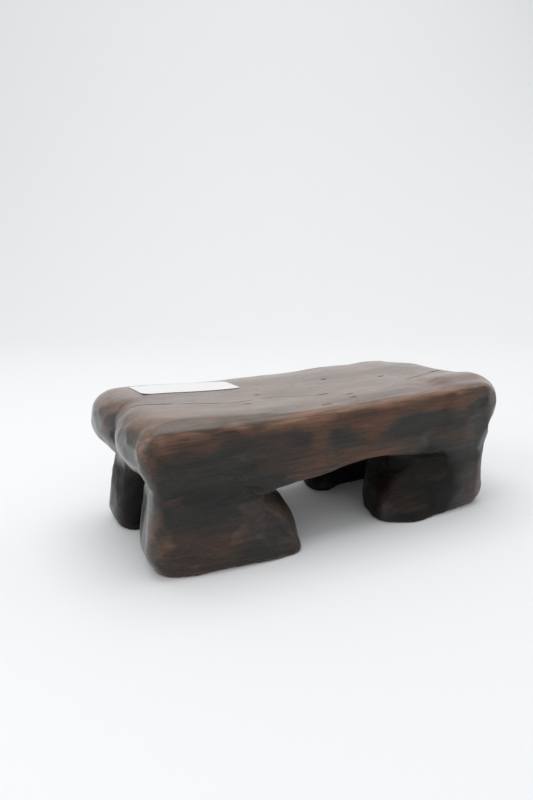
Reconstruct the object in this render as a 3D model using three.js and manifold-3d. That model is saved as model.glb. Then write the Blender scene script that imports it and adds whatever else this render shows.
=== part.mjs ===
// A carved wooden headrest: one block of dark hardwood cut into a dished slab on four splayed feet.
// Each end of the slab is cleft into two rounded lobes, one above each foot.
// A blank paper label is stuck on the top, near the left end.
//
// Millimetres, +Z up. X runs along the headrest, Y across it, and the front is at -Y.
// The origin is the centre of the bounding box, at floor level.

import * as THREE from "three";
import { mergeVertices } from "three/addons/utils/BufferGeometryUtils.js";
import Module from "manifold-3d";

// Whole object
const LENGTH = 383;
const END = LENGTH / 2;

// Slab
const LEFT_HEIGHT = 127; // height of the top at the left end, the highest part
const RIGHT_HEIGHT = 125;
const DISH_HEIGHT = 121.5; // height of the top where it is lowest
const DISH_X = -43;
const DISH_RIM = 40; // the right end's top is level over this length
const SLAB_HALF_WIDTH = 84;
const SLAB_END_TAPER = 4; // the slab narrows this much on each side towards its ends
const UNDERSIDE_CROWN = 66; // height of the arch under the slab
const UNDERSIDE_CROWN_X = 33;
const UNDERSIDE_SPRING = 53; // height of the underside where it meets the feet
const UNDERSIDE_SPAN = 105; // from the crown to where the underside levels off
const SQUARENESS = 6; // of the slab's section: 2 is an ellipse, higher is squarer
const CLEFT_OVERLAP = 12; // how far each half passes the centre line near the ends
const WAIST_OVERLAP = 60; // and halfway along, where the halves flow into one
const CLEFT_ZONE = [0.2, 0.8]; // the overlap changes between these shares of the way to the end

// Lobes, one pair at each end
const BLUNTNESS = 2.4; // of the ends' roundings: 2 is a quarter ellipse, higher is blunter
const LOBE_MIDDLE = 43; // from the centre line to a lobe's furthest point
const LOBE_HEIGHT = 99; // height of that point
const CORNER_ROUNDING = 32; // length over which a lobe rounds off at its outer corner
const CLEFT_ROUNDING = 42; // and on the side towards the cleft
const LOBE_ROLL = 28; // length over which the top rolls down to the furthest point
const LEFT_TUCK = 58; // length over which the left end slopes back under the lobes
const RIGHT_TUCK = 36; // the same for the right end
const TUCK_POWER = 0.5; // below 1 makes that slope start round
const TIP_SQUARENESS = 3;
const SQUARING_LENGTH = 70; // the section gets from the tip's squareness to the slab's over this length
const BACK_RIGHT_SETBACK = 10; // the back right lobe is this much shorter than the front one
const SETBACK_LENGTH = 150; // length over which that lobe falls behind

// Paper label
const LABEL_LENGTH = 99;
const LABEL_WIDTH = 38;
const LABEL_THICKNESS = 0.4;
const LABEL_GAP = 0.4; // keeps the paper clear of the wood
const LABEL_CENTRE = [-100, 47];
const LABEL_TURN = THREE.MathUtils.degToRad(4.5);

// Mesh resolution
const SLAB_AROUND = 32;
const SLAB_RINGS = 36;
const CORNER_STEPS = 4; // segments on each rounded corner of a foot's section
const LABEL_SEGMENTS = [24, 8];

const { lerp, smoothstep } = THREE.MathUtils;

// A cylinder whose vertices are moved by place(x, y, z), which returns the new [x, y, z].
function reshapedCylinder(around, rings, place) {
  const cylinder = new THREE.CylinderGeometry(1, 1, 2, around, rings);
  cylinder.deleteAttribute("normal");
  cylinder.deleteAttribute("uv");
  const closed = mergeVertices(cylinder);
  moveVertices(closed, place);
  return closed;
}

function moveVertices(geometry, place) {
  const position = geometry.getAttribute("position");
  for (let i = 0; i < position.count; i++) {
    position.setXYZ(i, ...place(position.getX(i), position.getY(i), position.getZ(i)));
  }
}

// Rises like a blunt quarter circle, from 0 at the slab's end to 1 at the given distance from it.
function roundedRise(fromEnd, length) {
  const short = 1 - Math.min(fromEnd / length, 1);
  return (1 - short ** BLUNTNESS) ** (1 / BLUNTNESS);
}

function topHeight(x) {
  const endHeight = x < DISH_X ? LEFT_HEIGHT : RIGHT_HEIGHT;
  const reach = x < DISH_X ? END + DISH_X : END - DISH_X - DISH_RIM;
  return lerp(DISH_HEIGHT, endHeight, smoothstep(Math.abs(x - DISH_X), 0, reach));
}

function undersideHeight(x) {
  const arch = smoothstep(Math.abs(x - UNDERSIDE_CROWN_X), 0, UNDERSIDE_SPAN);
  return lerp(UNDERSIDE_CROWN, UNDERSIDE_SPRING, arch);
}

// The upright section through one half of the slab at x, as its extents and how square it is.
function slabSection(x) {
  const fromEnd = END - Math.abs(x);
  const toEnd = Math.abs(x) / END;
  const edge = SLAB_HALF_WIDTH - SLAB_END_TAPER * toEnd ** 3;
  const overlap = lerp(WAIST_OVERLAP, CLEFT_OVERLAP, smoothstep(toEnd, ...CLEFT_ZONE));
  const tuckLength = x < 0 ? LEFT_TUCK : RIGHT_TUCK;
  const tuck = Math.min(fromEnd / tuckLength, 1) ** TUCK_POWER;
  return {
    outer: lerp(LOBE_MIDDLE, edge, roundedRise(fromEnd, CORNER_ROUNDING)),
    inner: lerp(LOBE_MIDDLE, -overlap, roundedRise(fromEnd, CLEFT_ROUNDING)),
    high: lerp(LOBE_HEIGHT, topHeight(x), roundedRise(fromEnd, LOBE_ROLL)),
    low: lerp(LOBE_HEIGHT, undersideHeight(x), tuck),
    squareness: lerp(TIP_SQUARENESS, SQUARENESS, smoothstep(fromEnd, 0, SQUARING_LENGTH)),
  };
}

const signedPower = (value, power) => Math.sign(value) * Math.abs(value) ** power;

// One long half of the slab, with a lobe at each end. side is -1 for the front, 1 for the back.
function slabHalf(side) {
  const rim = 0.96; // the last ring stops just short of the lobe's furthest point
  const setback = side > 0 ? BACK_RIGHT_SETBACK : 0;
  return reshapedCylinder(SLAB_AROUND, SLAB_RINGS, (a, along, b) => {
    const radius = Math.hypot(a, b);
    const isTip = radius < 0.5;
    const x = isTip ? END * along : END * Math.sin((Math.PI / 2) * rim * along);
    const shifted = x - setback * smoothstep(x, END - SETBACK_LENGTH, END);
    if (isTip) {
      return [shifted, side * LOBE_MIDDLE, LOBE_HEIGHT];
    }
    const { outer, inner, high, low, squareness } = slabSection(x);
    const across = signedPower(a / radius, 2 / squareness);
    const up = signedPower(b / radius, 2 / squareness);
    const y = (outer + inner) / 2 + (across * (outer - inner)) / 2;
    const z = (high + low) / 2 + (up * (high - low)) / 2;
    return [shifted, side * y, z];
  });
}

// A foot's horizontal sections. Each corner is [u, v]: u runs in from the slab's end, v out from the
// centre line. The corners go round the section: end inside, end outside, toe, instep, middle inside.
const FOOT_SECTIONS = [
  { z: 0, corners: [[19, 27], [21, 82], [109, 94], [132, 65], [129, 24]] },
  { z: 10, corners: [[14, 20], [16, 87], [108, 98], [133, 68], [128, 19]] },
  { z: 26, corners: [[15, 16], [19, 88], [90, 94], [133, 64], [123, 16]] },
  { z: 48, corners: [[21, 15], [22, 85], [67, 88], [120, 52], [118, 13]] },
  { z: 64, corners: [[26, 13], [25, 81], [57, 82], [120, 48], [118, 11]] },
  { z: 90, corners: [[38, 10], [38, 70], [58, 70], [120, 46], [118, 9]] },
];
const CORNER_SHARE = 0.34; // how much of each side of a section the rounded corners take

// Each foot's end and side, and what it adds to the sections: its heel is set further in from the
// slab's end, its toe and its inner side reach further in, and it spreads further out sideways.
const FEET = [
  { end: -1, side: -1, heel: -3, toe: 22, reach: 15, spread: 1 },
  { end: 1, side: -1, heel: 2, toe: 5, reach: 11, spread: -6 },
  { end: -1, side: 1, heel: -1, toe: 10, reach: 4, spread: -4 },
  { end: 1, side: 1, heel: 8, toe: 12, reach: 23, spread: -4 },
];

// A foot's corners at height z, worked out between the two nearest listed sections.
function cornersAt(z, { heel, toe, reach, spread }) {
  const above = Math.max(1, FOOT_SECTIONS.findIndex((section) => section.z >= z));
  const from = FOOT_SECTIONS[above - 1];
  const to = FOOT_SECTIONS[above];
  const t = (z - from.z) / (to.z - from.z);
  const added = [[heel, 0], [heel, spread], [toe, spread], [reach, 0], [reach, 0]];
  return from.corners.map((corner, i) => {
    const between = new THREE.Vector2(...corner).lerp(new THREE.Vector2(...to.corners[i]), t);
    return between.add(new THREE.Vector2(...added[i]));
  });
}

// The section's outline as a ring of points, with every corner rounded.
function roundedOutline(corners) {
  return corners.flatMap((corner, i) => {
    const before = corners.at(i - 1);
    const after = corners[(i + 1) % corners.length];
    const bend = new THREE.QuadraticBezierCurve(
      corner.clone().lerp(before, CORNER_SHARE),
      corner,
      corner.clone().lerp(after, CORNER_SHARE),
    );
    return bend.getPoints(CORNER_STEPS);
  });
}

// One foot with the leg above it, whose top is buried in the slab.
function foot(shape) {
  const levels = FOOT_SECTIONS.flatMap((section, i) => {
    const next = FOOT_SECTIONS[i + 1];
    return next ? [section.z, (section.z + next.z) / 2] : [section.z];
  });
  const rings = levels.map((z) => roundedOutline(cornersAt(z, shape)));
  const around = rings[0].length;
  return reshapedCylinder(around, levels.length - 1, (x, y, z) => {
    const level = Math.round(((y + 1) / 2) * (levels.length - 1));
    const ring = rings[level];
    const middle = ring.reduce((sum, p) => sum.add(p), new THREE.Vector2()).divideScalar(around);
    const turn = Math.atan2(x, z) / (2 * Math.PI);
    const step = Math.round(turn * around + around) % around;
    const point = Math.hypot(x, z) > 0.5 ? ring[step] : middle;
    return [shape.end * (END - point.x), shape.side * point.y, levels[level]];
  });
}

const wasm = await Module();
wasm.setup();

// A closed geometry as a manifold-3d solid. Faces are turned round if they point inwards.
function solid(geometry) {
  const vertProperties = new Float32Array(geometry.getAttribute("position").array);
  const make = (triVerts) => new wasm.Manifold(new wasm.Mesh({ numProp: 3, vertProperties, triVerts }));
  const faces = new Uint32Array(geometry.index.array);
  const made = make(faces);
  return made.volume() > 0 ? made : make(faces.reverse());
}

function geometryOf(manifold) {
  const mesh = manifold.getMesh();
  return new THREE.BufferGeometry()
    .setAttribute("position", new THREE.BufferAttribute(new Float32Array(mesh.vertProperties), 3))
    .setIndex(new THREE.BufferAttribute(new Uint32Array(mesh.triVerts), 1));
}

function carvedBody() {
  const pieces = [slabHalf(-1), slabHalf(1), ...FEET.map(foot)];
  const geometry = geometryOf(pieces.map(solid).reduce((whole, piece) => whole.add(piece)));
  const wood = new THREE.MeshStandardMaterial({ color: 0x3a2a22, roughness: 0.5, metalness: 0 });
  const body = new THREE.Mesh(geometry, wood);
  body.name = "carved_body";
  return body;
}

// The height of the slab's top at [x, y], on its back half.
function surfaceHeight(x, y) {
  const { outer, inner, high, low, squareness } = slabSection(x);
  const across = Math.abs(2 * y - outer - inner) / (outer - inner);
  return (high + low) / 2 + ((high - low) / 2) * (1 - across ** squareness) ** (1 / squareness);
}

// A thin sheet that follows the top.
function paperLabel() {
  const sheet = new THREE.BoxGeometry(LABEL_LENGTH, LABEL_WIDTH, LABEL_THICKNESS, ...LABEL_SEGMENTS, 1);
  sheet.deleteAttribute("normal");
  sheet.deleteAttribute("uv");
  const closed = mergeVertices(sheet);
  closed.rotateZ(LABEL_TURN);
  closed.translate(...LABEL_CENTRE, LABEL_GAP + LABEL_THICKNESS / 2);
  moveVertices(closed, (x, y, z) => [x, y, z + surfaceHeight(x, y)]);
  const paper = new THREE.MeshStandardMaterial({ color: 0xf2f2ee, roughness: 0.8, metalness: 0 });
  const label = new THREE.Mesh(closed, paper);
  label.name = "paper_label";
  return label;
}

const headrest = new THREE.Group();
headrest.add(carvedBody(), paperLabel());

// Centres the bounding box on the origin.
const middle = new THREE.Box3().setFromObject(headrest).getCenter(new THREE.Vector3());
headrest.position.set(-middle.x, -middle.y, 0);

export default headrest;
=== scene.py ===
"""Looks of a carved wooden headrest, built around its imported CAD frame.

The CAD block becomes a distance field in which edges, legs and hollows are carved. The field is
meshed, dressed with tool marks, cracks and nicks, and given old dark hardwood. The paper label is
laid on that surface. The sculpting and the label are in millimetres, and the stage, the lights, the
camera and all meshes in metres. The front is -Y, and the headrest is longest along X.
"""

import math

import bmesh
import bpy
import numpy as np
import openvdb
from mathutils import Matrix, Vector, kdtree, noise
from mathutils.bvhtree import BVHTree


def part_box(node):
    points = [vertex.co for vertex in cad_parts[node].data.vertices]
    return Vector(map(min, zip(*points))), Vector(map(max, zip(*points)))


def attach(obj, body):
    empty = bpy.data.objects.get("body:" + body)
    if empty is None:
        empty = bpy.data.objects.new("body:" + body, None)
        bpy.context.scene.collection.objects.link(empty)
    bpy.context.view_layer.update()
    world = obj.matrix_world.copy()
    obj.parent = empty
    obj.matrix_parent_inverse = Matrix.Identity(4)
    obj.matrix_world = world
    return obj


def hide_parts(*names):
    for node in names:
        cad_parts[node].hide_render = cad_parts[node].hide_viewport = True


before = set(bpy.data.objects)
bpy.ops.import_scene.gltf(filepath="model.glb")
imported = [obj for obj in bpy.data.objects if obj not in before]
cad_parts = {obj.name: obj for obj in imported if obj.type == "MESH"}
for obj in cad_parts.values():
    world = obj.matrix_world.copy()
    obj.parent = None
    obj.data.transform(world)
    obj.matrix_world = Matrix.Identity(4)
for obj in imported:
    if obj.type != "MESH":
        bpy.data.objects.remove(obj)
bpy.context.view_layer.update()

MM = 0.001

# Each use of noise or of random numbers has its own seed
SWELL_SEED = 1
WOBBLE_SEEDS = (3, 4, 5)
MOTTLE_SEED = 7
CRACK_SEED = 8
CUT_SEED = 4
SEED_SHIFT = 17.3  # how far apart two seeds look at the same noise, in its features

# ---------------------------------------------------------------- mesh helpers


def mesh_points(mesh):
    """The mesh's vertices as an array, in millimetres."""
    flat = np.empty(len(mesh.vertices) * 3, np.float32)
    mesh.vertices.foreach_get("co", flat)
    return flat.reshape(-1, 3).astype(float) / MM


def set_points(mesh, points):
    """Moves the mesh's vertices to places given in millimetres."""
    mesh.vertices.foreach_set("co", (points * MM).astype(np.float32).ravel())
    mesh.update()


def mesh_normals(mesh):
    flat = np.empty(len(mesh.vertices) * 3, np.float32)
    mesh.vertex_normals.foreach_get("vector", flat)
    return flat.reshape(-1, 3).astype(float)


def mesh_edges(mesh):
    """The two vertex numbers of each edge."""
    flat = np.empty(len(mesh.edges) * 2, np.int32)
    mesh.edges.foreach_get("vertices", flat)
    return flat.reshape(-1, 2)


def neighbour_mean(values, edges):
    """For each vertex, the mean of a value over the vertices that it shares an edge with."""
    count = np.bincount(edges.ravel(), minlength=len(values))
    total = np.zeros_like(values)
    for here, there in ((0, 1), (1, 0)):
        for axis in range(values.shape[1]):
            total[:, axis] += np.bincount(edges[:, here], values[edges[:, there], axis], len(values))
    return total / np.maximum(count, 1)[:, None]


def relax(points, edges, passes, strength):
    """Moves each vertex towards its neighbours' mean, pass after pass."""
    for _ in range(passes):
        points = points + strength * (neighbour_mean(points, edges) - points)
    return points


def smooth_without_shrinking(points, edges, passes):
    """Taubin smoothing: each inward pass is followed by a slightly stronger outward one."""
    inward, outward = 0.6, -0.63
    for _ in range(passes):
        points = relax(points, edges, 1, inward)
        points = relax(points, edges, 1, outward)
    return points


def smoothstep(value, low, high):
    """Rises from 0 at low to 1 at high, with no corner at either."""
    share = np.clip((value - low) / (high - low), 0, 1)
    return share * share * (3 - 2 * share)


def field(points, size, seed):
    """Smooth noise from -1 to 1 at the points, with features of about that size along each axis."""
    scaled = points / np.asarray(size) + seed * SEED_SHIFT
    return np.array([noise.noise(Vector(p)) for p in scaled])


def set_attribute(mesh, name, values):
    """Stores one number for each vertex, for the materials to read."""
    layer = mesh.attributes.new(name, "FLOAT", "POINT")
    layer.data.foreach_set("value", np.asarray(values, np.float32))


# ---------------------------------------------------------------- the distance field

CELL = 2.0  # edge of one cell of the field
BAND = 10  # distances are kept up to this many cells from the surface
MARGIN = 5  # cells of air around the block
BLUR_REACH = 3  # a blur's kernel ends after this many times its width


def smooth_min(first, second, width):
    """The lower of two values, with a rounded change from one to the other."""
    overlap = np.maximum(width - np.abs(first - second), 0) / width
    return np.minimum(first, second) - overlap * overlap * width / 4


def smooth_max(first, second, width):
    """The higher of two values, rounded in the same way."""
    return -smooth_min(-first, -second, width)


def blurred(values, cells):
    """The field after a Gaussian blur that many cells wide."""
    reach = int(BLUR_REACH * cells)
    steps = np.arange(-reach, reach + 1)
    kernel = np.exp(-0.5 * (steps / cells) ** 2)
    kernel /= kernel.sum()
    for axis in range(3):
        padded = np.pad(values, [(reach, reach) if a == axis else (0, 0) for a in range(3)], mode="edge")
        size = values.shape[axis]
        values = sum(
            weight * np.take(padded, range(shift, shift + size), axis=axis)
            for shift, weight in enumerate(kernel)
        )
    return values


class Block:
    """Signed distances to the wood on an even grid, negative inside it. Cuts and additions change them."""

    def __init__(self, source):
        mesh = source.data
        mesh.calc_loop_triangles()
        points = mesh_points(mesh)
        corners = np.empty(len(mesh.loop_triangles) * 3, np.int32)
        mesh.loop_triangles.foreach_get("vertices", corners)
        self.scale = openvdb.createLinearTransform(voxelSize=CELL)
        grid = openvdb.FloatGrid.createLevelSetFromPolygons(
            points.astype(np.float32),
            triangles=corners.reshape(-1, 3).astype(np.uint32),
            transform=self.scale,
            halfWidth=BAND,
        )
        low = np.floor(points.min(axis=0) / CELL).astype(int) - MARGIN
        high = np.ceil(points.max(axis=0) / CELL).astype(int) + MARGIN
        self.first = tuple(int(value) for value in low)
        self.values = np.zeros(tuple(high - low + 1), np.float32)
        grid.copyToArray(self.values, ijk=self.first)
        spans = [np.arange(start, end + 1) * CELL for start, end in zip(low, high)]
        self.x = spans[0][:, None, None]
        self.y = spans[1][None, :, None]
        self.z = spans[2][None, None, :]

    def outline(self, low, high):
        """Distance to the widest outline of the wood between two heights, seen from above."""
        between = (self.z[0, 0] >= low) & (self.z[0, 0] <= high)
        return self.values[:, :, between].min(axis=2)[:, :, None]

    def height(self, y, level, step):
        """For each x, how high the surface is at that y: the first change to air when going up (step 1)
        or down (step -1) from that level."""
        column = self.values[:, int(np.argmin(np.abs(self.y[0, :, 0] - y))), :]
        heights = self.z[0, 0]
        start = int(np.argmin(np.abs(heights - level)))
        found = np.full(len(column), float(level))
        for row, line in enumerate(column):
            index = start
            while 0 < index + step < len(line) - 1 and line[index + step] < 0:
                index += step
            inside, outside = min(line[index], 0), line[index + step]
            found[row] = heights[index] + step * CELL * inside / (inside - outside)
        return found[:, None, None]

    def distance_to_line(self, start, end):
        """Distance of each cell to the straight line between two points."""
        along = np.subtract(end, start)
        offset = [axis - value for axis, value in zip((self.x, self.y, self.z), start)]
        share = sum(part * step for part, step in zip(offset, along)) / (along @ along)
        share = np.clip(share, 0, 1)
        return np.sqrt(sum((part - share * step) ** 2 for part, step in zip(offset, along)))

    def add(self, shape, blend):
        """Joins on a shape, given as the distances to its own surface."""
        self.values = smooth_min(self.values, shape, blend)

    def cut(self, shape, blend):
        """Takes a shape away, given in the same way."""
        self.values = smooth_max(self.values, -shape, blend)

    def sampled(self, values, points):
        """The values of a grid of this shape at any points."""
        place = points / CELL - np.array(self.first)
        base = np.clip(np.floor(place).astype(int), 0, np.array(values.shape) - 2)
        share = place - base
        total = np.zeros(len(points))
        for corner in np.ndindex(2, 2, 2):
            weight = np.prod(np.where(corner, share, 1 - share), axis=1)
            total += weight * values[tuple((base + corner).T)]
        return total

    def openness(self, points, cells):
        """The share of air around each point: a half on a flat face, more on an edge, less in a hollow."""
        air = np.clip(self.values / CELL + 0.5, 0, 1)
        return self.sampled(blurred(air, cells), points)

    def mesh(self, name):
        """The surface as a mesh of quads."""
        grid = openvdb.FloatGrid()
        grid.background = BAND * CELL
        grid.copyFromArray(np.ascontiguousarray(self.values, np.float32), ijk=self.first)
        grid.transform = self.scale
        points, _, quads = grid.convertToPolygons(isovalue=0.0, adaptivity=0.0)
        mesh = bpy.data.meshes.new(name)
        mesh.from_pydata((points * MM).tolist(), [], quads.tolist())
        mesh.update()
        return mesh


# ---------------------------------------------------------------- carving the block

FACET_BLUR = 2.0  # cells of blur that take away the CAD model's flat facets
SLAB_OUTLINE = (88, 112)  # heights between which the slab is widest
LOWER_OUTLINE = (80, 95)  # heights around the slab's lower edges
TOP_LEVEL = 100  # a height inside the slab
UNDER_LEVEL = 90  # and one low in it
LOBE_MIDDLE = 45  # how far the lobes' middles are from the middle plane
CRISP = 2.0  # rounding where a filled part ends inside the wood
INSET = 0.3  # filled parts stay this far inside the widest outline

EDGE_DROP = 1.5  # how far the top rolls down to its edge
LEFT_DROP = 6.0  # how much farther down it rolls near the left end
EDGE_ROLL = 9.0  # how far in from the edge the roll starts
LEFT_ROLL = 9.0  # how much farther in it starts near the left end
ROLL_CHANGE = (-20, 130)  # distances left of the middle between which the roll grows
EDGE_ROUNDING = 10.0  # the worn edge's height along the right half
LEFT_ROUNDING = 3.0  # and near the left end, where the edge is crisp
ROUNDING_CHANGE = (0, 110)  # distances left of the middle between which it gets crisp
END_FADE = (-192, -178, 166, 190)  # along x: crisp edges between the inner two, soft beyond the outer two
END_SOFTNESS = 7.0  # how far the fillings shrink at the ends

UNDER_ROUNDING = 7.0  # rounding of the slab's lower edges
UNDER_EDGE_RISE = 4.0  # how far they lie above the middle of the underside
UNDER_ROLL = 30.0  # how far in from the edge the underside starts to rise
UNDER_MIDDLE_RISE = 1.5  # how far the filling stays above the middle of the underside
UNDER_TOP = 92  # its top, hidden inside the slab
UNDER_EDGE_SPAN = (-100, 130)  # the slab's lower edges are sharp between these
UNDER_FADE = (-15, 5)  # distances beyond that span over which they soften
UNDER_SOFTNESS = 6.0

COLUMNS = [  # the legs' outer parts that run straight into the slab's long faces: side, from x, to x
    (-1, -166, -128),
    (-1, 120, 144),
    (1, -150, -130),
    (1, 136, 158),
]
COLUMN_OUTLINE = (72, 84)  # heights whose outline they take
COLUMN_LEVELS = (30, 84)  # and heights between which they stand
COLUMN_DEPTH = 24  # how near to the middle plane they reach
COLUMN_INSET = 0.8
COLUMN_ROUNDING = 6.0
COLUMN_BLEND = 12.0


def sharpen_top_edge(block):
    """Fills the slab's upper edges, so that the rolled top meets the upright faces at a worn edge."""
    outline = block.outline(*SLAB_OUTLINE)
    tops = (block.height(-LOBE_MIDDLE, TOP_LEVEL, 1) + block.height(LOBE_MIDDLE, TOP_LEVEL, 1)) / 2
    to_left = smoothstep(-block.x, *ROLL_CHANGE)
    inwards = np.clip(-outline / (EDGE_ROLL + LEFT_ROLL * to_left), 0, 1)
    roll = (EDGE_DROP + LEFT_DROP * to_left) * (1 - inwards) ** 2 + inwards
    left_end, left_start, right_start, right_end = END_FADE
    soft = smoothstep(block.x, left_start, left_end) + smoothstep(block.x, right_start, right_end)
    inset = INSET + END_SOFTNESS * soft
    crispness = smoothstep(-block.x, *ROUNDING_CHANGE)
    rounding = EDGE_ROUNDING + (LEFT_ROUNDING - EDGE_ROUNDING) * crispness
    plate = smooth_max(outline + inset, block.z - (tops - roll - inset), rounding)
    block.add(smooth_max(plate, SLAB_OUTLINE[0] - block.z, CRISP), CRISP)


def sharpen_lower_edge(block):
    """Fills the slab's lower edges between the legs."""
    outline = block.outline(*LOWER_OUTLINE)
    under = block.height(0, UNDER_LEVEL, -1)
    inwards = np.clip(-outline / UNDER_ROLL, 0, 1)
    rise = UNDER_EDGE_RISE * (1 - inwards) ** 2 + UNDER_MIDDLE_RISE * inwards
    start, end = UNDER_EDGE_SPAN
    beyond = np.maximum(start - block.x, block.x - end)
    inset = INSET + UNDER_SOFTNESS * smoothstep(beyond, *UNDER_FADE)
    beam = smooth_max(outline + inset, under + rise + inset - block.z, UNDER_ROUNDING)
    beam = smooth_max(beam, block.z - UNDER_TOP, CRISP)
    block.add(smooth_max(beam, beyond, UNDER_SOFTNESS), CRISP)


def raise_columns(block):
    """Brings the legs' outer parts flush with the slab's long faces."""
    outline = block.outline(*COLUMN_OUTLINE)
    low, high = COLUMN_LEVELS
    for side, start, end in COLUMNS:
        across = np.maximum(start - block.x, block.x - end)
        column = smooth_max(outline + COLUMN_INSET, across, COLUMN_ROUNDING)
        column = smooth_max(column, low - block.z, COLUMN_ROUNDING)
        column = smooth_max(column, block.z - high, CRISP)
        column = smooth_max(column, COLUMN_DEPTH - side * block.y, COLUMN_ROUNDING)
        block.add(column, COLUMN_BLEND)


# Flat insteps cut under the slab: a point on the flat, the way it faces, where it starts and ends along x
INSTEPS = [
    ((-118.6, -84.8, 55.4), (0.355, -0.841, 0.408), -132, -40),
    ((104, -80, 46), (-0.40, -0.895, 0.20), 40, 126),
]
INSTEP_TOP = 58  # they stop at this height
INSTEP_DEPTH = -20  # and at this y
INSTEP_ROUNDING = 4.0
# Parts that stand out a little from the CAD block: from, to, radius, blend
BULGES = [
    ((75, -71.5, 0), (60, -64, 8), 15.5, 14),
    ((-84, -78, 1), (-61, -79, 2), 10, 9),
    ((-160, -68, 5), (-148, -71, 5), 11.5, 12),
    ((-172, -70, 22), (-168, -70, 62), 12, 12),
    ((-168, -54, 22), (-162, -54, 58), 12, 10),
    ((-168, -69, 79), (-177, -68, 102), 12, 8),
    ((130, -50, 104), (168, -47, 103), 22, 12),
    ((149, -61, 20), (147, -60, 50), 19, 8),
    ((147, -60, 50), (155, -60, 74), 19, 8),
    ((45, 36, 0), (45, 46, 12), 12, 12),
    ((-160, 33, 0), (-162, 37, 12), 10, 12),
]
# Hollows scooped out of the legs: from, to, radius, blend
SCOOPS = [
    ((-78, -96, 55), (-52, -36, 50), 4.5, 4),
    ((-64, -80, 52), (-36, -72, 56.5), 6, 5),
    ((84, -80, 57), (106, -80, 55), 6, 5),
    ((49, -84, 46), (49, -30, 46), 15, 8),
    ((78, 10, 2), (112, 10, 2), 22, 10),
]
# The front right leg's outer corner, worn round: the upright axis of the rounding, its radius and its top
ROUND_CORNER = ((146, -51), 32, 88)
CORNER_FADE = 24.0  # how softly the rounding ends at its top
CORNER_BLEND = 6.0
CREASE_FILL = 3.0  # cells of blur that round out the creases
GROUND_ROUNDING = 1.0


def cut_insteps(block):
    """Cuts the flats over the front feet's inner ends."""
    for point, facing, start, end in INSTEPS:
        ahead = sum(f * (axis - p) for f, axis, p in zip(facing, (block.x, block.y, block.z), point))
        waste = smooth_max(-ahead, block.z - INSTEP_TOP, INSTEP_ROUNDING)
        waste = smooth_max(waste, np.maximum(start - block.x, block.x - end), INSTEP_ROUNDING)
        waste = smooth_max(waste, block.y - INSTEP_DEPTH, INSTEP_ROUNDING)
        block.cut(waste, CRISP)


def round_corner(block):
    """Takes away what lies outside the rounded corner of the front right leg."""
    (x, y), radius, top = ROUND_CORNER
    waste = radius - np.hypot(block.x - x, block.y - y)
    waste = smooth_max(waste, np.maximum(x - block.x, block.y - y), CRISP)
    block.cut(smooth_max(waste, block.z - top, CORNER_FADE), CORNER_BLEND)


def add_bulges(block):
    for start, end, radius, blend in BULGES:
        block.add(block.distance_to_line(start, end) - radius, blend)


def scoop_hollows(block):
    for start, end, radius, blend in SCOOPS:
        block.cut(block.distance_to_line(start, end) - radius, blend)


def fill_creases(block):
    """Rounds out the creases and leaves the edges as they are."""
    block.add(blurred(block.values, CREASE_FILL) + INSET, CRISP)


def extend_below(block):
    """Carries the feet on below the ground, so that a blur doesn't round off the soles."""
    above = int(np.argmin(np.abs(block.z[0, 0] - CELL)))
    block.values[:, :, :above] = block.values[:, :, above : above + 1]


# ---------------------------------------------------------------- tool marks

CUT_SIZE = 17  # width of one adze cut
CUT_STRETCH = np.array([0.42, 1.0, 1.0])  # the cuts are longer along the grain
CUT_LIMIT = 1.1  # no cut moves the surface farther than this
CUT_NEIGHBOURS = 5  # how many of the nearest cuts can shape a place
CUT_FACING = 0.5  # and how much they have to face the same way, as a cosine
CUT_SOFTNESS = 0.9  # how softly one cut meets the next
SIDE_CUTS = 0.8  # strength of the cuts on the sides
TOP_CUTS = 0.18  # and on the top, which is worn smooth
EDGE_CUTS = 0.25  # share of their strength that is left along an edge
SWELL_SIZE = (70, 45, 45)
SWELL_HEIGHT = 0.7
SOLE_CALM = 12  # the surface calms down over this height above the ground
SOLE_CUTS = 0.2  # share of the cuts and swells that is left at the ground
SOLE_LEVEL = 0.7  # vertices below this belong to a sole
TRUING_PASSES = 2  # passes that take the grid's steps out of the surface
SETTLING = 0.3  # how strongly the finished cuts are smoothed
MARK_PASSES = 6  # smoothing passes that wipe out the cuts, to tell how far they stand out
MARK_SMOOTHING = 0.6
EDGE_REACH = 3.0  # cells around a place that tell how open it is on its edge
SHELTER_REACH = 11.0  # and how sheltered it is as a whole
EDGE_OPENNESS = (0.56, 0.66)  # from a face to an edge

DISH_DEPTH = 1.0  # how far the top sinks beside its middle line
DISH_LENGTH = (90, 150)  # distances from the middle between which the dish ends, along the headrest
DISH_WIDTH = (10, 66)  # and across it
UPWARD = (0.6, 0.95)  # a face counts as part of the top from the first upward slant to the second
# How much the top rises (above zero) or sinks along its back edge: x and change
BACK_PROFILE = [(-80, 0), (-10, -0.6), (35, -1.6), (70, -0.4), (120, -2.4), (150, -3), (170, -7), (182, -4)]
BACK_START = (30, 80)  # the change sets in between these distances behind the middle
BACK_LEVELS = (60, 110)  # and between these heights


def shape_top(points, normals):
    """Dishes the top a little and gives its back edge its own profile."""
    up = smoothstep(normals[:, 2], *UPWARD)
    in_length = 1 - smoothstep(np.abs(points[:, 0]), *DISH_LENGTH)
    in_width = 1 - smoothstep(np.abs(points[:, 1]), *DISH_WIDTH)
    at_back = smoothstep(points[:, 1], *BACK_START) * smoothstep(points[:, 2], *BACK_LEVELS)
    change = np.interp(points[:, 0], *np.transpose(BACK_PROFILE))
    points[:, 2] += at_back * change - DISH_DEPTH * in_length * in_width * up


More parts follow.
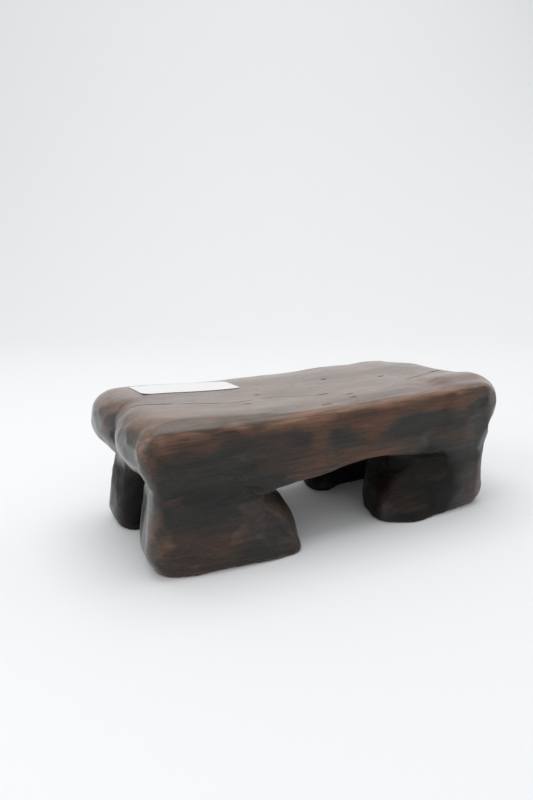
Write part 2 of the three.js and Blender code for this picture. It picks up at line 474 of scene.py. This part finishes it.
def adze_cuts(points, normals):
    """How far along its normal each vertex moves, so that the surface breaks into flattish cuts."""
    shuffled = np.random.default_rng(CUT_SEED).permutation(len(points))
    stretched = points * CUT_STRETCH
    cells = np.floor(stretched[shuffled] / CUT_SIZE)
    _, first = np.unique(cells, axis=0, return_index=True)
    seeds = shuffled[first]
    tree = kdtree.KDTree(len(seeds))
    for index, seed in enumerate(seeds):
        tree.insert(stretched[seed], index)
    tree.balance()
    moves = np.zeros(len(points))
    for index, point in enumerate(stretched):
        near = tree.find_n(point, CUT_NEIGHBOURS)
        closest = near[0][2]
        total = weight_sum = 0.0
        for _, seed_index, distance in near:
            seed = seeds[seed_index]
            facing = normals[seed] @ normals[index]
            if facing < CUT_FACING:
                continue
            weight = math.exp((closest - distance) / CUT_SOFTNESS)
            total += weight * ((points[seed] - points[index]) @ normals[seed]) / facing
            weight_sum += weight
        if weight_sum > 0:
            moves[index] = total / weight_sum
    return np.clip(moves, -CUT_LIMIT, CUT_LIMIT)


def dress(points, normals, block):
    """Adze cuts and slow swells, calm on the top, along the edges and near the soles."""
    up = smoothstep(normals[:, 2], *UPWARD)
    on_edge = smoothstep(block.openness(points, EDGE_REACH), *EDGE_OPENNESS)
    strength = (SIDE_CUTS + (TOP_CUTS - SIDE_CUTS) * up) * (1 + (EDGE_CUTS - 1) * on_edge)
    moves = adze_cuts(points, normals) * strength
    moves += field(points, SWELL_SIZE, SWELL_SEED) * SWELL_HEIGHT
    moves *= SOLE_CUTS + (1 - SOLE_CUTS) * smoothstep(points[:, 2], 0, SOLE_CALM)
    return points + normals * moves[:, None]


# Patches of worn reddish wood (above zero) and of dark wood (below), the last of them painted shade:
# centre, radii, strength
PATCHES = [
    ((-50, -82, 105), (12, 14, 11), -0.5),
    ((-10, -82, 99), (12, 14, 16), -0.45),
    ((-31, -82, 104), (8, 14, 14), 0.6),
    ((24, -82, 103), (30, 14, 14), 0.8),
    ((80, -82, 95), (42, 14, 9), -0.5),
    ((150, -84, 76), (45, 30, 30), -0.5),
    ((100, -82, 76), (50, 14, 7), 0.5),
    ((0, -82, 72), (60, 14, 8), 0.4),
    ((-179, -80, 109), (8, 14, 8), -0.5),
    ((-145, -86, 109), (44, 14, 9), 0.5),
    ((-140, -78, 121), (70, 16, 5), -0.5),
    ((30, -84, 110), (125, 12, 7), 0.8),
    ((95, -76, 113), (90, 16, 8), 0.9),
    ((-150, 50, 122), (30, 40, 8), 0.4),
    ((-140, -84, 66), (48, 18, 30), -0.6),
    ((-160, 30, 20), (34, 26, 28), -0.5),
    ((-132, -86, 16), (38, 24, 18), 0.3),
    ((-78, -84, 30), (44, 30, 36), -0.65),
    # painted shade on the front right leg's inner face and toe, under the slab
    ((86, -76, 26), (46, 40, 46), -1.8),
]
PATCH_FADE = (0.4, 1.4)  # a patch fades between these shares of its radii
WOBBLE = 6  # how far the patches' outlines wander
WOBBLE_SIZE = (22, 22, 14)
PLAIN = 0.45  # redness away from the patches
MOTTLE = 0.45  # and how much it varies
MOTTLE_SIZE = (60, 40, 26)


def redness(points):
    """Where the wood is worn to its reddish brown (1), where it is plain (0) and where it is sooty (-1),
    with painted shade on the front right leg's inner face.
    """
    wander = np.stack([field(points, WOBBLE_SIZE, seed) for seed in WOBBLE_SEEDS], axis=1)
    moved = points + wander * WOBBLE
    value = PLAIN + MOTTLE * field(points, MOTTLE_SIZE, MOTTLE_SEED)
    for centre, radii, strength in PATCHES:
        distance = np.sqrt((((moved - centre) / radii) ** 2).sum(axis=1))
        value += strength * (1 - smoothstep(distance, *PATCH_FADE))
    return np.clip(value, -1, 1)


# Cracks and nicks in the top: the points of the line, half the width, depth
CRACKS = [
    ([(-180, -6), (-168, -9), (-156, -11), (-135, -17)], 0.8, 2.4),
    ([(-140, -16), (-103, -23), (-85, -24), (-57, -18)], 0.6, 1.0),
    ([(-60, -18), (-37, -18), (-22, -26), (-3, -34), (7, -37)], 0.5, 0.7),
    ([(176, -7), (160, -12), (138, -20)], 0.8, 2.0),
    ([(142, -19), (125, -25), (100, -29)], 0.5, 0.9),
    ([(-60, 69), (-56, 69), (-52, 70)], 1.6, 2.4),
    ([(-54, -2), (-47, -2)], 0.9, 1.0),
    ([(-80, -33), (-72, -33)], 0.8, 0.8),
    ([(33, 20), (41, 21)], 1.1, 1.3),
    ([(-22, -67), (-9, -66)], 0.8, 0.8),
    ([(-6, -34), (8, -33)], 0.8, 0.9),
    ([(17, -48), (26, -47)], 0.9, 0.9),
    ([(14, -58), (23, -58)], 0.8, 0.8),
    ([(88, -2), (96, -1)], 0.9, 0.9),
    ([(-63, -87), (-52, -87)], 1.0, 0.9),
]
CRACK_BAND = 4.0  # the mesh is finer within this distance of a crack
CRACK_CUTS = 3  # each edge there gets this many new vertices
SHADED_CRACK_DEPTH = 1.8  # a crack this deep gets painted shade, black at the bottom
CRACK_FADE = 0.2  # share of a crack's length over which each end fades
CRACK_WANDER = 0.7  # how far a crack strays from its line
CRACK_WANDER_SIZE = (9, 9, 9)
CRACK_LEVELS = (106, 110)  # a crack is shut below the first height and fully open above the second


def line_distance(places, path):
    """For places seen from above: the distance to the path, and the share of its length there."""
    path = np.array(path, float)
    lengths = np.linalg.norm(np.diff(path, axis=0), axis=1)
    starts = np.concatenate([[0], np.cumsum(lengths)])
    best = np.full(len(places), np.inf)
    share = np.zeros(len(places))
    for start, end, length, before in zip(path[:-1], path[1:], lengths, starts):
        part = np.clip((places - start) @ (end - start) / length**2, 0, 1)
        distance = np.linalg.norm(places - start - part[:, None] * (end - start), axis=1)
        closer = distance < best
        best[closer] = distance[closer]
        share[closer] = (before + part * length)[closer] / starts[-1]
    return best, share


def refine_near_cracks(mesh):
    """Subdivides the mesh along the cracks, so that it can hold them."""
    points = mesh_points(mesh)
    near = np.zeros(len(points), bool)
    for path, _, _ in CRACKS:
        near |= line_distance(points[:, :2], path)[0] < CRACK_BAND
    near &= points[:, 2] > CRACK_LEVELS[0]
    shape = bmesh.new()
    shape.from_mesh(mesh)
    shape.verts.ensure_lookup_table()
    chosen = [edge for edge in shape.edges if near[edge.verts[0].index] and near[edge.verts[1].index]]
    bmesh.ops.subdivide_edges(shape, edges=chosen, cuts=CRACK_CUTS, use_grid_fill=True, smooth=0.0)
    shape.to_mesh(mesh)
    shape.free()


def open_cracks(mesh):
    """Sinks the cracks into the top, and returns how deep in a crack each vertex is, from 0 to 1."""
    points = mesh_points(mesh)
    on_top = smoothstep(points[:, 2], *CRACK_LEVELS)
    wander = field(points, CRACK_WANDER_SIZE, CRACK_SEED) * CRACK_WANDER
    depths = np.zeros(len(points))
    inside = np.zeros(len(points))
    for path, half_width, depth in CRACKS:
        distance, share = line_distance(points[:, :2] + wander[:, None] * (0, 1), path)
        fade = smoothstep(np.minimum(share, 1 - share), 0, CRACK_FADE)
        profile = np.exp(-((distance / half_width) ** 2)) * fade * on_top
        depths = np.maximum(depths, depth * profile)
        # the painted shade in a crack grows with its depth
        inside = np.maximum(inside, profile * min(depth / SHADED_CRACK_DEPTH, 1))
    points[:, 2] -= depths
    set_points(mesh, points)
    return inside


def carved_block():
    """The CAD block with its edges, legs and hollows carved."""
    block = Block(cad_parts["carved_body"])
    extend_below(block)
    block.values = blurred(block.values, FACET_BLUR)
    raise_columns(block)
    fill_creases(block)
    cut_insteps(block)
    round_corner(block)
    add_bulges(block)
    sharpen_top_edge(block)
    sharpen_lower_edge(block)
    scoop_hollows(block)
    block.cut(block.z, GROUND_ROUNDING)
    return block


UNDER_SLAB_DEPTH = (3, 26)  # distances inside the slab's outline over which painted shade darkens its underside
UNDER_SLAB_LEVELS = (50, 66)  # heights between which that painted shade ends


def describe_surface(mesh, block, crack):
    """Stores what the wood's material needs to know about each place."""
    points = mesh_points(mesh)
    normals = mesh_normals(mesh)
    outline = np.broadcast_to(block.outline(*LOWER_OUTLINE), block.values.shape)
    inside = -block.sampled(outline, points)
    # painted shade under the slab, for the wood's material
    under_slab_shade = smoothstep(inside, *UNDER_SLAB_DEPTH) * (1 - smoothstep(points[:, 2], *UNDER_SLAB_LEVELS))
    set_attribute(mesh, "crack", crack)
    set_attribute(mesh, "edge", block.openness(points, EDGE_REACH))
    set_attribute(mesh, "shelter", block.openness(points, SHELTER_REACH))
    set_attribute(mesh, "under_slab_shade", under_slab_shade)
    set_attribute(mesh, "upward", normals[:, 2])
    set_attribute(mesh, "endward", np.abs(normals[:, 0]))
    set_attribute(mesh, "redness", redness(points))


def sculpted_body():
    """The carved and dressed wood as one closed mesh, resting on the ground."""
    block = carved_block()
    mesh = block.mesh("carved_wood")
    edges = mesh_edges(mesh)
    points = mesh_points(mesh)
    on_sole = points[:, 2] < SOLE_LEVEL
    set_points(mesh, smooth_without_shrinking(points, edges, TRUING_PASSES))
    points = mesh_points(mesh)
    normals = mesh_normals(mesh)
    shape_top(points, normals)
    points = relax(dress(points, normals, block), edges, 1, SETTLING)
    points[on_sole, 2] = 0
    points[:, 2] = np.maximum(points[:, 2], 0)
    set_points(mesh, points)

    smoother = relax(points, edges, MARK_PASSES, MARK_SMOOTHING)
    set_attribute(mesh, "tool_marks", ((points - smoother) * mesh_normals(mesh)).sum(axis=1))
    refine_near_cracks(mesh)
    crack = open_cracks(mesh)
    describe_surface(mesh, block, crack)
    mesh.shade_smooth()
    body = bpy.data.objects.new("carved_wood", mesh)
    bpy.context.scene.collection.objects.link(body)
    return body


# ---------------------------------------------------------------- materials


class Nodes:
    """Short ways to add and link a material's nodes."""

    def __init__(self, name):
        self.material = bpy.data.materials.new(name)
        self.material.use_nodes = True
        self.tree = self.material.node_tree
        self.shader = self.tree.nodes["Principled BSDF"]

    def add(self, kind, **settings):
        """A new node of that kind, with its settings."""
        node = self.tree.nodes.new(kind)
        for key, value in settings.items():
            setattr(node, key, value)
        return node

    def put(self, socket, value):
        """Links an output socket to an input, or sets the input to a plain value."""
        if isinstance(value, bpy.types.NodeSocket):
            self.tree.links.new(value, socket)
        else:
            socket.default_value = value

    def maths(self, operation, *values):
        """The result of one operation on sockets or plain numbers."""
        node = self.add("ShaderNodeMath", operation=operation)
        for socket, value in zip(node.inputs, values):
            self.put(socket, value)
        return node.outputs[0]

    def remap(self, value, change):
        """Follows a change: the values where it starts and ends, then what it goes from and to."""
        node = self.add("ShaderNodeMapRange")
        for socket, number in zip(node.inputs, (value, *change)):
            self.put(socket, number)
        return node.outputs[0]

    def mix(self, share, first, second):
        """The first colour, with that share of the second."""
        node = self.add("ShaderNodeMix", data_type="RGBA")
        self.put(node.inputs["Factor"], share)
        self.put(node.inputs["A"], first)
        self.put(node.inputs["B"], second)
        return node.outputs["Result"]

    def noise(self, scale, detail=3.0, roughness=0.5, distortion=0.0):
        """Noise in object space."""
        place = self.add("ShaderNodeTexCoord").outputs["Object"]
        mapping = self.add("ShaderNodeMapping")
        self.put(mapping.inputs["Vector"], place)
        self.put(mapping.inputs["Scale"], scale)
        texture = self.add("ShaderNodeTexNoise")
        self.put(texture.inputs["Vector"], mapping.outputs[0])
        for name, value in (("Scale", 1.0), ("Detail", detail), ("Roughness", roughness)):
            self.put(texture.inputs[name], value)
        self.put(texture.inputs["Distortion"], distortion)
        return texture.outputs["Fac"]

    def attribute(self, name):
        return self.add("ShaderNodeAttribute", attribute_name=name).outputs["Fac"]

    def bump(self, height, distance, below=None):
        """A surface roughened by that height, on top of another roughened one if there is one below."""
        node = self.add("ShaderNodeBump")
        self.put(node.inputs["Height"], height)
        self.put(node.inputs["Distance"], distance)
        if below is not None:
            self.put(node.inputs["Normal"], below)
        return node.outputs[0]


BLACK = (0.0105, 0.0100, 0.0082, 1)
BROWN = (0.034, 0.0175, 0.0105, 1)
RED_BROWN = (0.088, 0.034, 0.014, 1)
TOP_BROWN = (0.185, 0.104, 0.066, 1)
BARE = (0.36, 0.19, 0.12, 1)
SCRATCH = (0.12, 0.065, 0.042, 1)
# near black, for old grime and for the painted shade in hollows, cracks and under the slab
GRIME_AND_SHADE_BLACK = (0.002, 0.002, 0.002, 1)
PAPER_WHITE = (0.79, 0.785, 0.80, 1)
PAPER_ROUGHNESS = 0.7

# Noises: features per metre along x, y and z, then detail, roughness and distortion
FIGURE = ((14, 75, 75), 6, 0.68, 1.6)
FIBRES = ((20, 420, 420), 4, 0.7)
BLOTCHES = ((28, 44, 44), 6, 0.7)
SMEARS = ((18, 60, 60), 4)
SWIRLS = ((24, 52, 52), 1, 0.5, 1.5)
BREAKS = ((25, 50, 50),)
MIDDLE = 0.5  # the middle value of every noise

# Changes of look: the values where a change starts and ends, then what it goes from and to
BROWN_BY_REDNESS = (0.1, 0.65, 0, 1)
RED_BY_REDNESS = (0.6, 1.3, 0, 1)
TOP_BY_SLANT = (0.3, 0.85, 0, 1)
TOP_BY_REDNESS = (-0.2, 0.8, 0.25, 1)
BARE_BY_OPENNESS = (0.57, 0.67, 0, 1)
BARE_OFF_SIDES = (-0.2, 0.5, 0.08, 0.6)  # edges that look sideways or down keep little bare wood
BARE_OFF_TOP = (0.75, 0.95, 1, 0.3)
BARE_BY_REDNESS = (0, 0.5, 0, 1)
RED_BY_TOOL_MARK = (0.25, 0.6, 0, 0.35)
LINE_BY_DISTANCE = (0, 0.014, 1, 0)
LINE_BREAKS = (0.42, 0.6, 0, 1)
# Painted shade: sheltered hollows and deep cracks go dark, and the dark patches bring grime and painted
# shade; there the coat, the sheen and most specular reflection are taken away as well
SHADE_BY_SHELTER = (0.43, 0.28, 0, 1)
SHADE_BY_CRACK = (0.2, 0.9, 0, 0.8)
GRIME_AND_SHADE_BY_REDNESS = (-0.1, -1, 0, 0.6)
SHINE_BY_GRIME_AND_SHADE = (0, 0.5, 1, 0)
SPECULAR_BY_GRIME_AND_SHADE = (0, 1, 0.36, 0.1)
END_BY_SLANT = (0.55, 0.95, 0, 1)
TINT_BY_FIBRE = (0.3, 0.7, 0.5, 1.6)
ROUGHNESS_BY_NOISE = (0.3, 0.7, 0.32, 0.48)

BLOTCH_STRENGTH = 1.3  # how much blotches change the redness
END_REDNESS = -0.7  # how much less red the ends are
EDGE_RAGGEDNESS = 0.12  # how much blotches break up the bare edges
LINE_STRENGTH = 0.27
POLISH_ROUGHNESS = -0.08  # what a hand-polished top, and grime with painted shade, add to the roughness
GRIME_AND_SHADE_ROUGHNESS = 0.2
BASE_COAT = 0.05  # clear coat everywhere, and what the polished top and the ends add to it
POLISH_COAT = 0.6
END_COAT = 0.7
COAT_ROUGHNESS = 0.28
SHEEN = 0.16
SHEEN_ROUGHNESS = 0.35
FIBRE_BUMP = 0.00035  # metres
FIGURE_BUMP = 0.0012


def hair_lines(n):
    """Thin curling lines, broken here and there: where a slow noise crosses its middle value."""
    from_middle = n.maths("ABSOLUTE", n.maths("SUBTRACT", n.noise(*SWIRLS), MIDDLE))
    unbroken = n.remap(n.noise(*BREAKS), LINE_BREAKS)
    return n.maths("MULTIPLY", n.remap(from_middle, LINE_BY_DISTANCE), unbroken)


def worn_colour(n, red, uneven):
    """Black to reddish brown by wear, browner on the top, with bare wood along the worn edges."""
    upward = n.attribute("upward")
    colour = n.mix(n.remap(red, BROWN_BY_REDNESS), BLACK, BROWN)
    colour = n.mix(n.remap(red, RED_BY_REDNESS), colour, RED_BROWN)
    on_top = n.maths("MULTIPLY", n.remap(upward, TOP_BY_SLANT), n.remap(red, TOP_BY_REDNESS))
    colour = n.mix(on_top, colour, TOP_BROWN)
    openness = n.maths("MULTIPLY_ADD", uneven, EDGE_RAGGEDNESS, n.attribute("edge"))
    edge = n.remap(openness, BARE_BY_OPENNESS)
    edge = n.maths("MULTIPLY", edge, n.remap(upward, BARE_OFF_SIDES))
    edge = n.maths("MULTIPLY", edge, n.remap(upward, BARE_OFF_TOP))
    edge = n.maths("MULTIPLY", edge, n.remap(n.attribute("redness"), BARE_BY_REDNESS))
    colour = n.mix(edge, colour, BARE)
    colour = n.mix(n.remap(n.attribute("tool_marks"), RED_BY_TOOL_MARK), colour, RED_BROWN)
    return n.mix(n.maths("MULTIPLY", hair_lines(n), LINE_STRENGTH), colour, SCRATCH)


def grime_and_shade_share(n):
    """How much of a place is darkened: painted shade in hollows, under the slab and in cracks, and old
    grime and painted shade in the dark patches.
    """
    grime_and_shade = n.maths("MAXIMUM", n.remap(n.attribute("shelter"), SHADE_BY_SHELTER), n.attribute("under_slab_shade"))
    grime_and_shade = n.maths("MAXIMUM", grime_and_shade, n.remap(n.attribute("crack"), SHADE_BY_CRACK))
    return n.maths("MAXIMUM", grime_and_shade, n.remap(n.attribute("redness"), GRIME_AND_SHADE_BY_REDNESS))


def wood_finish(n, grime_and_shade, endward):
    """A hand-polished top and shiny ends, and dull grime and painted shade, which lose the coat, the sheen
    and most of the specular reflection.
    """
    polish = n.remap(n.attribute("upward"), TOP_BY_SLANT)
    clean = n.remap(grime_and_shade, SHINE_BY_GRIME_AND_SHADE)
    rough = n.remap(n.noise(*SMEARS), ROUGHNESS_BY_NOISE)
    rough = n.maths("MULTIPLY_ADD", polish, POLISH_ROUGHNESS, rough)
    n.put(n.shader.inputs["Roughness"], n.maths("MULTIPLY_ADD", grime_and_shade, GRIME_AND_SHADE_ROUGHNESS, rough))
    n.put(n.shader.inputs["Specular IOR Level"], n.remap(grime_and_shade, SPECULAR_BY_GRIME_AND_SHADE))
    coat = n.maths("MULTIPLY_ADD", endward, END_COAT, BASE_COAT)
    coat = n.maths("MULTIPLY_ADD", polish, POLISH_COAT, coat)
    n.put(n.shader.inputs["Coat Weight"], n.maths("MULTIPLY", coat, clean))
    n.put(n.shader.inputs["Coat Roughness"], COAT_ROUGHNESS)
    n.put(n.shader.inputs["Sheen Weight"], n.maths("MULTIPLY", clean, SHEEN))
    n.put(n.shader.inputs["Sheen Roughness"], SHEEN_ROUGHNESS)


def dark_wood():
    """Old dark hardwood: grain along X, worn colours, a hand-polished top, old grime, and painted shade in
    the hollows, the cracks and under the slab.
    """
    n = Nodes("dark_hardwood")
    figure = n.noise(*FIGURE)
    fibres = n.noise(*FIBRES)
    uneven = n.maths("SUBTRACT", n.noise(*BLOTCHES), MIDDLE)
    endward = n.remap(n.attribute("endward"), END_BY_SLANT)
    red = n.maths("MULTIPLY_ADD", uneven, BLOTCH_STRENGTH, n.attribute("redness"))
    red = n.maths("ADD", n.maths("SUBTRACT", figure, MIDDLE), red)
    red = n.maths("MULTIPLY_ADD", endward, END_REDNESS, red)
    grime_and_shade = grime_and_shade_share(n)
    tinted = n.add("ShaderNodeVectorMath", operation="SCALE")
    # painted shade and old grime take the colour towards near black
    n.put(tinted.inputs[0], n.mix(grime_and_shade, worn_colour(n, red, uneven), GRIME_AND_SHADE_BLACK))
    n.put(tinted.inputs["Scale"], n.remap(fibres, TINT_BY_FIBRE))
    n.put(n.shader.inputs["Base Color"], tinted.outputs[0])
    wood_finish(n, grime_and_shade, endward)
    grain = n.bump(fibres, FIBRE_BUMP)
    n.put(n.shader.inputs["Normal"], n.bump(figure, FIGURE_BUMP, grain))
    return n.material


def paper(name, colour, roughness):
    """Plain matt paper."""
    n = Nodes(name)
    n.put(n.shader.inputs["Base Color"], colour)
    n.put(n.shader.inputs["Roughness"], roughness)
    return n.material


# ---------------------------------------------------------------- stage, lights and camera

SWEEP_COLOUR = (0.87, 0.875, 0.88, 1)
SWEEP_ROUGHNESS = 0.8
SWEEP_FRONT = -7.0
SWEEP_BACK = 1.1  # where the floor starts to curve up
SWEEP_RADIUS = 0.9  # of that curve
SWEEP_STEPS = 32  # straight pieces in it
SWEEP_TOP = 3.0
SWEEP_WIDTH = 14.0

WORLD_COLOUR = (0.97, 0.985, 1, 1)
WORLD_STRENGTH = 0.60
LAMPS = [  # name, place, the point it shines at, size, watts
    ("overhead", (0.0, 0.25, 1.9), (0.0, 0.1, 0.0), 1.8, 17),
    ("left", (-1.9, 0.0, 1.0), (0.0, 0.0, 0.0), 1.4, 9),
    ("right", (1.9, 0.3, 1.0), (0.0, 0.0, 0.0), 1.4, 3),
    ("front", (-0.9, -1.6, 1.6), (0.0, 0.0, 0.0), 1.6, 4),
]

CAMERA_PLACE = (-0.3396, -0.5609, 0.2659)
CAMERA_TURN = -28.15  # degrees anticlockwise from looking along +Y, so it is turned towards +X
CAMERA_PITCH = -13.43  # degrees above the horizon
CAMERA_ROLL = -0.31  # degrees
CAMERA_LENS = 31.40  # millimetres


def paper_sweep():
    """A sheet that runs along the floor and curves up into the wall behind, facing the camera."""
    profile = [(SWEEP_FRONT, 0.0), (SWEEP_BACK, 0.0)]
    for step in range(1, SWEEP_STEPS + 1):
        angle = math.pi / 2 * step / SWEEP_STEPS
        profile.append((SWEEP_BACK + SWEEP_RADIUS * math.sin(angle), SWEEP_RADIUS * (1 - math.cos(angle))))
    profile.append((SWEEP_BACK + SWEEP_RADIUS, SWEEP_TOP))
    half = SWEEP_WIDTH / 2
    points = [(side * half, along, up) for along, up in profile for side in (-1, 1)]
    faces = [(2 * row, 2 * row + 1, 2 * row + 3, 2 * row + 2) for row in range(len(profile) - 1)]
    mesh = bpy.data.meshes.new("paper_sweep")
    mesh.from_pydata(points, [], faces)
    mesh.materials.append(paper("sweep_paper", SWEEP_COLOUR, SWEEP_ROUGHNESS))
    mesh.shade_smooth()
    sweep = bpy.data.objects.new("paper_sweep", mesh)
    sweep.rotation_euler.z = math.radians(CAMERA_TURN)
    bpy.context.scene.collection.objects.link(sweep)


def soft_lamp(name, place, aim, size, watts):
    lamp = bpy.data.lights.new(name, "AREA")
    lamp.energy = watts
    lamp.size = size
    holder = bpy.data.objects.new(name, lamp)
    holder.location = place
    holder.rotation_euler = (Vector(aim) - Vector(place)).to_track_quat("-Z", "Y").to_euler()
    bpy.context.scene.collection.objects.link(holder)


def studio():
    """The paper sweep, an even pale sky and the soft lamps."""
    paper_sweep()
    world = bpy.data.worlds.new("studio_world")
    world.use_nodes = True
    background = world.node_tree.nodes["Background"]
    background.inputs["Color"].default_value = WORLD_COLOUR
    background.inputs["Strength"].default_value = WORLD_STRENGTH
    bpy.context.scene.world = world
    bpy.context.scene.view_settings.view_transform = "Standard"
    for lamp in LAMPS:
        soft_lamp(*lamp)


def camera():
    data = bpy.data.cameras.new("camera")
    data.lens = CAMERA_LENS
    holder = bpy.data.objects.new("camera", data)
    turn = Matrix.Rotation(math.radians(CAMERA_TURN), 4, "Z")
    tilt = Matrix.Rotation(math.radians(90 + CAMERA_PITCH), 4, "X")
    roll = Matrix.Rotation(math.radians(CAMERA_ROLL), 4, "Z")
    holder.matrix_world = Matrix.Translation(CAMERA_PLACE) @ turn @ tilt @ roll
    bpy.context.scene.collection.objects.link(holder)
    bpy.context.scene.camera = holder


# ---------------------------------------------------------------- the label

LABEL_SIZE = (99, 38)
LABEL_SHIFT = (-2, -2.45)  # how far it lies from the middle of the CAD label
LABEL_TURN = 2.8  # degrees, anticlockwise from above
LABEL_STEP = 1.5  # edge of one face
LABEL_GAP = 0.25  # between the wood and the paper
LABEL_THICKNESS = 0.2
LABEL_CORNER = 2.5  # radius of its corners
LIFTED_CORNER = (-1, -1)  # the corner at low x and low y has come unstuck
LIFT_HEIGHT = 0.9
LIFT_REACH = 9  # how far from the corner the paper starts to lift
LIFT_CURVE = 1.6  # 1 lifts it in a straight line, and more than 1 curls it
DRAPE_PASSES = 12  # passes in which the paper pulls straight over hollows
RAY_START = 1.0  # metres, well above the wood


def label_grid(counts):
    """An even grid over the flat label, drawn in at its four round corners."""
    half = np.array(LABEL_SIZE) / 2
    along, across = np.meshgrid(*[np.linspace(-h, h, c) for h, c in zip(half, counts)], indexing="ij")
    places = np.stack([along.ravel(), across.ravel()], axis=1)
    into_corner = np.abs(places) - (half - LABEL_CORNER)
    in_corner = (into_corner > 0).all(axis=1)
    reach = np.linalg.norm(into_corner, axis=1)
    pull = LABEL_CORNER / np.maximum(reach, LABEL_CORNER)
    rounded = np.sign(places) * (half - LABEL_CORNER + into_corner * pull[:, None])
    return np.where(in_corner[:, None], rounded, places)


def label_heights(flat, counts, body):
    """The height of the paper's underside at each place: the wood's height, with its hollows bridged."""
    surface = BVHTree.FromObject(body, bpy.context.evaluated_depsgraph_get())
    heights = []
    for x, y in flat * MM:
        hit = surface.ray_cast(Vector((x, y, RAY_START)), Vector((0, 0, -1)))[0]
        heights.append(hit.z / MM)
    heights = np.array(heights).reshape(counts)
    for _ in range(DRAPE_PASSES):
        padded = np.pad(heights, 1, mode="edge")
        mean = (padded[2:, 1:-1] + padded[:-2, 1:-1] + padded[1:-1, 2:] + padded[1:-1, :-2]) / 4
        heights = np.maximum(heights, mean)
    return heights.ravel() + LABEL_GAP


def paper_label(body):
    """A sheet of paper that follows the top, with one corner lifted."""
    counts = [int(round(size / LABEL_STEP)) + 1 for size in LABEL_SIZE]
    places = label_grid(counts)
    turn = math.radians(LABEL_TURN)
    spin = np.array([[math.cos(turn), math.sin(turn)], [-math.sin(turn), math.cos(turn)]])
    label_low, label_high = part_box("paper_label")
    centre = np.array(label_low + label_high)[:2] / 2 / MM + LABEL_SHIFT
    flat = places @ spin + centre
    to_corner = np.linalg.norm(places - np.array(LABEL_SIZE) / 2 * LIFTED_CORNER, axis=1)
    lift = LIFT_HEIGHT * (1 - np.clip(to_corner / LIFT_REACH, 0, 1)) ** LIFT_CURVE
    points = np.column_stack([flat, label_heights(flat, counts, body) + lift])
    rows, columns = counts
    first = [row * columns + column for row in range(rows - 1) for column in range(columns - 1)]
    faces = [(corner, corner + columns, corner + columns + 1, corner + 1) for corner in first]
    mesh = bpy.data.meshes.new("label")
    mesh.from_pydata((points * MM).tolist(), [], faces)
    mesh.shade_smooth()
    label = bpy.data.objects.new("label_sheet", mesh)
    bpy.context.scene.collection.objects.link(label)
    thick = label.modifiers.new("thickness", "SOLIDIFY")
    thick.thickness = LABEL_THICKNESS * MM
    thick.offset = 1
    return label


# ---------------------------------------------------------------- the whole scene


def put_in_frame(piece, node):
    """Lets the piece move with the one body, in place of its CAD node."""
    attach(piece, "root")
    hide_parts(node)


body = sculpted_body()
body.data.materials.append(dark_wood())
put_in_frame(body, "carved_body")
label = paper_label(body)
label.data.materials.append(paper("label_paper", PAPER_WHITE, PAPER_ROUGHNESS))
put_in_frame(label, "paper_label")
studio()
camera()
